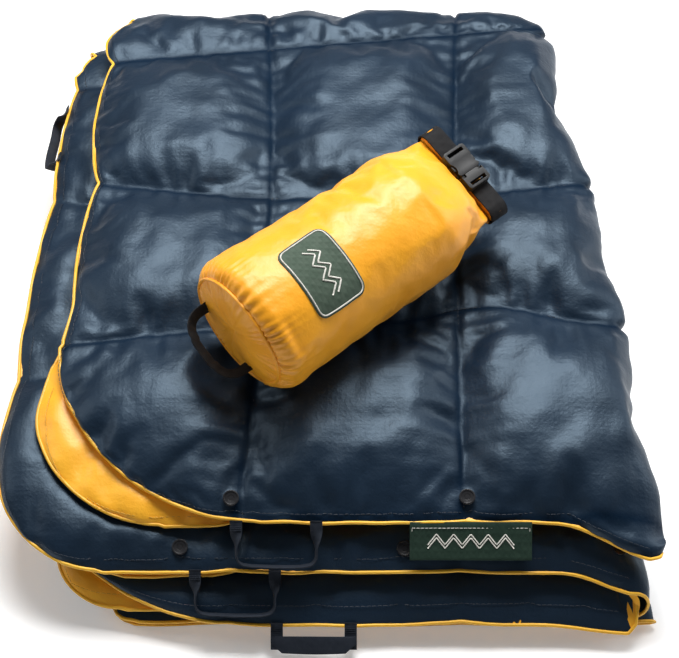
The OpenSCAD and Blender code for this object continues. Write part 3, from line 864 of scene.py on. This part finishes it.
def hem_loop_parts(drop, bars):
    """Loop that hangs along -Y: legs lie flat at the hem and turn on edge towards the band."""
    half = LOOP_SPAN / 2
    leg = [(-half, -d) for d in np.linspace(-0.004, drop - LOOP_BEND, 14)]
    corner = [
        (-half + LOOP_BEND * (1 - math.cos(a)), -drop + LOOP_BEND * (1 - math.sin(a)))
        for a in np.linspace(0, math.pi / 2, 7)[1:]
    ]
    across = np.linspace(-half + LOOP_BEND, 0, 9)[1:]
    band = [(x, -drop - 0.0012 * math.cos(math.pi * x / LOOP_SPAN)) for x in across]
    left = leg + corner + band
    outline = left + [(-x, y) for x, y in left[-2::-1]]
    path = np.array([(x, y, 0.0012 * math.sin(70 * x)) for x, y in outline])
    travelled = np.minimum(np.arange(len(path)), np.arange(len(path))[::-1]) * 0.0024
    t = np.clip((travelled - 0.006) / LOOP_TWIST, 0, 1)
    angle = math.pi / 2 * t * t * (3 - 2 * t) * 0.92
    wide = np.stack([np.cos(angle), np.zeros(len(path)), np.sin(angle)], -1)
    parts = [ribbon(path, wide, WEBBING_W, WEBBING_T)]
    for side in (-1, 1):
        for row in range(bars):
            y = -0.0015 - BAR_PITCH * row
            dots = enumerate(np.linspace(-0.0048, 0.0048, 13))
            bar = [(side * half + x, y + 0.0004 * (k % 2), BAR_Z) for k, x in dots]
            parts.append(sweep(bar, BAR_R, 5))
    return parts


def make_loops():
    top_place = (-0.056, HEM_Y[0] - HEM_FACE, 0.09271)
    middle_place = (-0.093, HEM_Y[2] - HEM_FACE, 0.05773)
    side_place = (-0.2944, 0.187, 0.0907)
    for end, place, direction, drop, bars in (
        ("top", top_place, turn("X", 43), LOOP_DROP, 3),
        ("middle", middle_place, turn("X", 43), LOOP_DROP, 3),
        ("side", side_place, turn("Z", -90) @ turn("X", 60), SIDE_LOOP_DROP, 0),
    ):
        parts = moved(Matrix.Translation(place) @ direction, hem_loop_parts(drop, bars))
        name = f"{end}_hem_loop"
        add_piece(f"{name}_webbing", f"{end}_loop", "navy_webbing", parts, replaced=(name,))


CARRY_SPAN = 0.066
CARRY_DROP = 0.024
CARRY_W = 0.016


PLATE_STEP = 0.004


def plate(outline, thickness, matrix, curl):
    """Thin plate with a rounded rim from a plan outline; curl bends it about its X axis."""
    mesh = bmesh.new()
    face = mesh.faces.new([mesh.verts.new((x, y, 0)) for x, y in outline])
    grown = bmesh.ops.extrude_face_region(mesh, geom=[face])
    top = [v for v in grown["geom"] if isinstance(v, bmesh.types.BMVert)]
    bmesh.ops.translate(mesh, verts=top, vec=(0, 0, thickness))
    bmesh.ops.recalc_face_normals(mesh, faces=mesh.faces)
    rim = [e for e in mesh.edges if abs(e.verts[0].co.z - e.verts[1].co.z) < 1e-7]
    bmesh.ops.bevel(mesh, geom=rim, offset=thickness * 0.3, segments=2, affect="EDGES", profile=0.5)
    low = min(v.co.y for v in mesh.verts)
    for along in (Vector((0, 1, 0)), Vector((1, 0, 0))):
        reach = [v.co.dot(along) for v in mesh.verts]
        start, end = min(reach), max(reach)
        for k in range(1, int((end - start) / PLATE_STEP)):
            geom = mesh.verts[:] + mesh.edges[:] + mesh.faces[:]
            cut = along * (start + k * PLATE_STEP)
            bmesh.ops.bisect_plane(mesh, geom=geom, plane_co=cut, plane_no=along)
    for v in mesh.verts:
        v.co.z += curl * (v.co.y / low) ** 2 + 0.0006 * math.sin(60 * v.co.x)
    points = np.array([v.co[:] for v in mesh.verts])
    mesh.verts.index_update()
    faces = [tuple(v.index for v in f.verts) for f in mesh.faces]
    mesh.free()
    return placed(matrix, points), faces


def make_carry_loop():
    matrix = Matrix.Translation((-0.023, HEM_Y[4] - HEM_FACE, 0.02129)) @ turn("X", 40)
    outer, inner = (CARRY_SPAN + WEBBING_W) / 2, (CARRY_SPAN - WEBBING_W) / 2
    low, top = -CARRY_DROP, CARRY_W - CARRY_DROP
    parts = []
    for side in (-1, 1):
        path = [(side * CARRY_SPAN / 2, y, 0) for y in np.linspace(0.004, low + 0.004, 10)]
        parts.append(ribbon(path, [(1, 0, 0)] * len(path), WEBBING_W, WEBBING_T))
        for row in range(3):
            y = -0.0012 - BAR_PITCH * row
            bar = [(side * CARRY_SPAN / 2 + x, y, BAR_Z) for x in np.linspace(-0.0046, 0.0046, 9)]
            parts.append(sweep(bar, BAR_R, 5))
    parts = moved(matrix, parts)
    chamfer, sag = 0.010, 0.0015
    band = [(-outer, top), (-inner, top), (inner, top), (outer, top), (outer, low + chamfer)]
    for x in np.linspace(outer - chamfer, chamfer - outer, 12):
        band.append((x, low + sag - sag * math.cos(math.pi * x / (2 * outer))))
    band.append((-outer, low + chamfer))
    parts.append(plate(band[::-1], WEBBING_T, matrix @ Matrix.Translation((0, 0, 0.0004)), 0.0006))
    add_piece("carry_loop_webbing", "carry_handle", "navy_webbing", parts, replaced=("carry_loop",))


LABEL_L = 0.108
LABEL_H = 0.031
LABEL_CURL = 0.0015


def zigzag(x0, x1, y, height, count):
    return [(x0 + (x1 - x0) * k / (2 * count), y + (height if k % 2 else 0)) for k in range(2 * count + 1)]


def make_label():
    matrix = Matrix.Translation((0.116, HEM_Y[0] - HEM_FACE, 0.09271)) @ turn("X", 43)
    half = LABEL_L / 2
    outline = [(-half, 0.003), (half, 0.003), (half, -LABEL_H), (-half, -LABEL_H)]
    flat = matrix @ Matrix.Translation((0, 0, -0.0004))
    cloth = plate(outline[::-1], 0.0011, flat, LABEL_CURL)
    add_piece("hem_label", "label", "green_label", [cloth], replaced=("woven_label",))

    def on_label(points):
        x, y = np.array(points).T
        return np.stack([x, y, 0.0008 + LABEL_CURL * (y / LABEL_H) ** 2 + 0.0006 * np.sin(60 * x)], -1)

    marks = []
    for lift in (0.0, 0.0032):
        corners = [(x, y, 0) for x, y in zigzag(-0.038, 0.038, -0.0205 + lift, 0.0095, 5)]
        line = resample(corners, 0.0015)[:, :2]
        marks.append(sweep(placed(matrix, on_label(line)), 0.0006, 6))
    add_piece("hem_label_zigzag", "label", "green_label", marks, materials["pale_thread"])
    edge, top = half - 0.002, -0.0024
    rows = [[(-edge, top), (edge, top)], [(-edge, top), (-edge, -0.008)], [(edge, top), (edge, -0.008)]]
    dashes = stitches([on_label(row) for row in rows], 0.0002, 0.0026, 0.0012, 0.00028)
    add_piece("hem_label_stitches", "label", "green_label", moved(matrix, [dashes]), materials["pale_thread"])


make_loops()
make_carry_loop()
make_label()

# ---------- stuff sack

SACK = Matrix.Translation(tuple(SACK_ORIGIN)) @ turn("Z", 40) @ turn("Y", -3)
MOUTH_TURN = 18
MOUTH = SACK @ Matrix.Translation((SACK_L, 0, 0)) @ turn("X", MOUTH_TURN) @ turn("Z", -90)
BASE_R = 0.052
BASE_ROUND = 0.016
CLOTH_END = SACK_L - 0.010
ROLL_L = 0.106
SACK_SPREAD = 0.19  # the low side spreads where the sack rests
SACK_PUFF = 0.006  # the most that the cloth may move


def spread(y):
    return y * np.where(y < 0, 1 + SACK_SPREAD, 1)


def sack_section(x, angles):
    """Outline of the sack at a distance from its base: round, then flattened towards the mouth."""
    flatten = np.clip((x - 0.195) / (CLOTH_END - 0.195), 0, 1) ** 1.5
    r = BASE_R + (SACK_R - BASE_R) * math.sin(math.pi / 2 * min(x / BASE_ROUND, 1))
    round_y, round_z = spread(r * np.cos(angles)), r * np.sin(angles)
    half_w, half_t = ROLL_L / 2 - 0.003, 0.004
    flat_y = half_w * np.sign(np.cos(angles)) * np.abs(np.cos(angles)) ** 0.8
    flat_z = half_t * np.sin(angles)
    y, z = round_y + (flat_y - round_y) * flatten, round_z + (flat_z - round_z) * flatten
    twist = math.radians(MOUTH_TURN) * flatten
    return y * math.cos(twist) - z * math.sin(twist), y * math.sin(twist) + z * math.cos(twist)


def make_sack_body():
    around, disc_rings = 120, 10
    angles = np.arange(around) * 2 * math.pi / around
    stations = np.concatenate([BASE_ROUND * np.arange(5) / 4, np.linspace(BASE_ROUND, CLOTH_END, 52)[1:]])
    rings = []
    for r in BASE_R * np.arange(1, disc_rings) / disc_rings:
        rings.append(np.stack([np.zeros(around), spread(r * np.cos(angles)), r * np.sin(angles)], -1))
    for x in stations:
        rings.append(np.stack([np.full(around, x), *sack_section(x, angles)], -1))
    points = np.concatenate([np.array([[0.0, 0, 0]])] + rings)
    faces = [(0, 1 + (j + 1) % around, 1 + j) for j in range(around)]
    for i in range(len(rings) - 1):
        a, b = 1 + i * around, 1 + (i + 1) * around
        faces += [(a + j, a + (j + 1) % around, b + (j + 1) % around, b + j) for j in range(around)]
    pinned = np.zeros(len(points), bool)
    seam_ring = 1 + (disc_rings - 1) * around
    pinned[seam_ring : seam_ring + around] = True
    pinned[-around:] = True
    points[:, 1:] += np.where(pinned[:, None], 0, 0.0006) * smooth_noise(points, 55, 71)[:, None]
    piece = new_object("sack_cloth", placed(SACK, points), faces, "gold_ripstop")
    rest = mesh_points(piece.data)
    add_cloth(piece, pinned, 2.0, 0.025, bending=0.02)
    run_cloth([piece])
    step = mesh_points(piece.data) - rest
    length = np.linalg.norm(step, axis=1)[:, None]
    set_points(piece.data, rest + step * np.minimum(1, SACK_PUFF / np.maximum(length, 1e-9)))
    subdivide(piece)
    fine = mesh_points(piece.data)
    local = placed(SACK.inverted(), fine)
    local[:, 1] /= np.where(local[:, 1] < 0, 1 + SACK_SPREAD, 1)
    normals = vertex_normals(piece.data)
    angle = np.arctan2(local[:, 2], local[:, 1])
    radius = np.hypot(local[:, 1], local[:, 2])
    from_seam = np.hypot(local[:, 0], radius - BASE_R)
    on_body = np.where(local[:, 0] > 0.002, 0.0024, 0.0012)
    pleats = on_body * np.exp(-from_seam / 0.011) * np.clip(from_seam / 0.002, 0, 1)
    pleats = pleats * np.sin(54 * angle + 3 * np.sin(5 * angle)) * (0.7 + 0.5 * np.sin(11 * angle))
    mouth_gap = np.clip(CLOTH_END - local[:, 0], 0, 1)
    tucks = 0.0042 * np.exp(-mouth_gap / 0.030) * np.sin(math.pi * np.clip(mouth_gap / 0.012, 0, 1) / 2)
    tucks = tucks * smooth_noise(local * np.array([0.22, 1, 1]), 70, 75)
    creases = 0.0012 * smooth_noise(local * np.array([1, 0.55, 0.55]), 26, 77) * (local[:, 0] > 0.01)
    set_points(piece.data, fine + normals * (pleats + tucks + creases)[:, None])
    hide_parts("sack_tube", "sack_base", "sack_stuffing")
    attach(piece, "sack")
    angles = np.linspace(0, 2 * math.pi, 200)[:-1]
    ring = np.stack([spread(BASE_R * np.cos(angles)), BASE_R * np.sin(angles), np.full(199, -0.0002)], -1)
    v, f = sweep(ring, PIPING_R, 8, closed=True)
    piping = (placed(SACK, v[:, [2, 0, 1]]), [q[::-1] for q in f])
    add_piece("sack_base_piping", "sack", "gold_ripstop", [piping], replaced=("sack_base_seam",))
    return piece


def make_mouth_roll():
    """The flattened mouth rolled up on itself, as a thick spiral strip."""
    turns, steps, rows = 1.9, 76, 34
    profile = [(-0.013, -0.0040), (-0.008, -0.0075)]
    for k in range(steps + 1):
        t = k / steps
        a = -math.pi / 2 + 2 * math.pi * turns * t
        r = 0.0098 - 0.0058 * t
        profile.append((1.12 * r * math.cos(a), 0.92 * r * math.sin(a)))
    profile = np.array(profile)
    direction = np.gradient(profile, axis=0)
    direction /= np.linalg.norm(direction, axis=1)[:, None]
    normal = np.stack([-direction[:, 1], direction[:, 0]], -1)
    thickness = 0.0009
    closed = np.concatenate([profile + normal * thickness, (profile - normal * thickness)[::-1]])
    n = len(closed)
    vertices = []
    for x in np.linspace(-ROLL_L / 2, ROLL_L / 2, rows):
        end = (abs(x) / (ROLL_L / 2)) ** 6
        swell = 1 - 0.10 * end + 0.03 * math.sin(90 * x)
        vertices.append(np.stack([np.full(n, x * (1 - 0.02 * end)), *(closed.T * swell)], -1))
    vertices = np.concatenate(vertices)
    vertices[:, 2] += 0.0007 * smooth_noise(vertices, 70, 81)
    vertices[:, 1] += 0.0006 * smooth_noise(vertices, 60, 82)
    faces = []
    for i in range(rows - 1):
        a, b = i * n, (i + 1) * n
        faces += [(a + j, a + (j + 1) % n, b + (j + 1) % n, b + j) for j in range(n)]
    half = n // 2
    for i in (0, rows - 1):
        caps = [(i * n + j, i * n + j + 1, i * n + n - 2 - j, i * n + n - 1 - j) for j in range(half - 1)]
        faces += caps if i else [c[::-1] for c in caps]
    roll = (placed(MOUTH, vertices), faces)
    piece = add_piece("sack_mouth_cloth", "sack", "gold_ripstop", [roll], replaced=("sack_mouth_roll",))
    mesh = bmesh.new()
    mesh.from_mesh(piece.data)
    bmesh.ops.recalc_face_normals(mesh, faces=mesh.faces)
    mesh.to_mesh(piece.data)
    mesh.free()


HANDLE_TWIST = 55


def make_base_handle():
    matrix = SACK @ Matrix.Translation((0, 0.0075, -0.015)) @ turn("X", -59)
    half, reach, bend = 0.0325, 0.0285, 0.017
    leg = [(-0.0005 - d, -half) for d in np.linspace(0, reach - bend, 6)]
    corner = [
        (-reach + bend * (1 - math.sin(a)), -half + bend * (1 - math.cos(a)))
        for a in np.linspace(0, math.pi / 2, 9)[1:]
    ]
    across = np.linspace(-half + bend, 0, 6)[1:]
    band = [(-reach - 0.002 * math.cos(math.pi * z / (2 * half)), z) for z in across]
    left = leg + corner + band
    outline = left + [(x, -z) for x, z in left[-2::-1]]
    path = np.array([(x - 0.0012, 0.0015 * math.sin(50 * z), z) for x, z in outline])
    tangent = np.gradient(path, axis=0)
    tangent /= np.linalg.norm(tangent, axis=1)[:, None]
    up = np.array([0, 1.0, 0])
    tilt = math.radians(HANDLE_TWIST)
    wide = math.cos(tilt) * up + math.sin(tilt) * np.cross(up, tangent)
    strap = moved(matrix, [ribbon(path, wide, WEBBING_W, WEBBING_T)])
    add_piece("base_handle_webbing", "base_handle", "black_webbing", strap, replaced=("sack_base_handle",))
    tabs = []
    for side in (-1, 1):
        stops = ((-0.0016, 0.002), (-0.0018, -0.004), (-0.0018, -0.010))
        path = resample([(x, 0, side * (half + z)) for x, z in stops], 0.001)
        tabs.append(ribbon(path, [(0, 1, 0)] * len(path), WEBBING_W, WEBBING_T))
        for row in range(3):
            z = side * (half - 0.003 - 0.002 * row)
            tabs.append(sweep([(-0.0029, y, z) for y in np.linspace(-0.0046, 0.0046, 9)], 0.0004, 5))
    add_piece("base_handle_tabs", "sack", "black_webbing", moved(matrix, tabs))


PATCH_X, PATCH_L, PATCH_W, PATCH_TURN = 0.048, 0.052, 0.066, 33


def make_patch(sack):
    """Printed patch pressed onto the sack's cloth, with a pale border and a plain zigzag."""
    polygons = [tuple(p.vertices) for p in sack.data.polygons]
    tree = BVHTree.FromPolygons([v.co[:] for v in sack.data.vertices], polygons)

    def on_sack(u, v, lift):
        """Point over the cloth at distance u along the patch and v round the sack from its middle."""
        angle = math.radians(90 + PATCH_TURN) - v / SACK_R
        outward = SACK.to_3x3() @ Vector((0, math.cos(angle), math.sin(angle)))
        centre = SACK @ Vector((PATCH_X + PATCH_L / 2 + u, 0, 0))
        hit, _, _, _ = tree.ray_cast(centre + outward * 0.1, -outward)
        return (hit if hit else centre + outward * SACK_R) + outward * lift

    def rounded_rectangle(half_u, half_v, r, steps=6):
        points = []
        for cu, cv, start in ((1, 1, 0), (-1, 1, 90), (-1, -1, 180), (1, -1, 270)):
            for k in range(steps + 1):
                a = math.radians(start + 90 * k / steps)
                points.append((cu * (half_u - r) + r * math.cos(a), cv * (half_v - r) + r * math.sin(a), 0))
        return points

    half_u, half_v, r = PATCH_L / 2, PATCH_W / 2, 0.008
    outline = resample(rounded_rectangle(half_u, half_v, r), 0.003, closed=True)
    n = len(outline)
    # rings out from the middle, and a last one that goes down into the cloth
    rings = [(share, 0.0009) for share in (0.2, 0.4, 0.6, 0.75, 0.88, 0.96, 1.0)] + [(1.0, -0.0004)]
    vertices = [on_sack(0, 0, 0.0009)]
    faces = [(1 + (j + 1) % n, 1 + j, 0) for j in range(n)]
    for k, (share, lift) in enumerate(rings):
        vertices += [on_sack(u * share, v * share, lift) for u, v, _ in outline]
        if k:
            a, b = 1 + k * n, 1 + (k - 1) * n
            faces += [(b + (j + 1) % n, a + (j + 1) % n, a + j, b + j) for j in range(n)]
    printed = (np.array([p[:] for p in vertices]), faces)
    add_piece("sack_patch_print", "sack", "patch_fabric", [printed], replaced=("sack_patch",))
    inner = resample(rounded_rectangle(half_u - 0.0022, half_v - 0.0022, r - 0.002), 0.002, closed=True)
    marks = [sweep([on_sack(u, v, 0.0011)[:] for u, v, _ in inner], 0.0007, 6, closed=True)]
    for offset in (-0.006, 0.0):
        line = resample([(x, y, 0) for x, y in zigzag(-0.020, 0.020, offset, 0.009, 3)], 0.0015)
        marks.append(sweep([on_sack(y, x, 0.0011)[:] for x, y, _ in line], 0.0008, 6))
    add_piece("sack_patch_marks", "sack", "patch_fabric", marks, materials["pale_thread"])


SHARP_ANGLE = math.radians(35)
BUCKLE_EDGE, STRAP_EDGE = 0.00035, 0.0003


def soften_node(name, body, slot_name, width):
    """Copy of a CAD node with rounded edges, which stands for it."""
    mesh = bmesh.new()
    mesh.from_mesh(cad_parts[name].data)
    bmesh.ops.remove_doubles(mesh, verts=mesh.verts, dist=1e-6)
    bmesh.ops.dissolve_limit(mesh, angle_limit=math.radians(1), verts=mesh.verts, edges=mesh.edges)
    edges = [e for e in mesh.edges if len(e.link_faces) == 2 and e.calc_face_angle(0) > SHARP_ANGLE]
    look = dict(segments=3, affect="EDGES", profile=0.5, clamp_overlap=True)
    bmesh.ops.bevel(mesh, geom=edges, offset=width, **look)
    data = bpy.data.meshes.new(f"{name}_moulded")
    mesh.to_mesh(data)
    mesh.free()
    data.shade_smooth()
    data.materials.clear()
    data.materials.append(materials[slot_name])
    piece = in_scene(f"{name}_moulded", data)
    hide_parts(name)
    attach(piece, body)


sack = make_sack_body()
make_mouth_roll()
make_base_handle()
make_patch(sack)
soften_node("buckle_socket", "sack", "buckle_plastic", BUCKLE_EDGE)
for body_name in ("plug", "left_arm", "right_arm"):
    soften_node(f"buckle_{body_name}", body_name, "buckle_plastic", BUCKLE_EDGE)
for node_name in ("left_closure_strap", "right_closure_strap"):
    soften_node(node_name, "sack", "black_webbing", STRAP_EDGE)
soften_node("snap_caps", "quilt", "snap_black", STRAP_EDGE)
for node_name in ("snap_posts", "snap_sockets"):
    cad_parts[node_name].data.materials.clear()
    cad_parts[node_name].data.materials.append(materials["snap_black"])
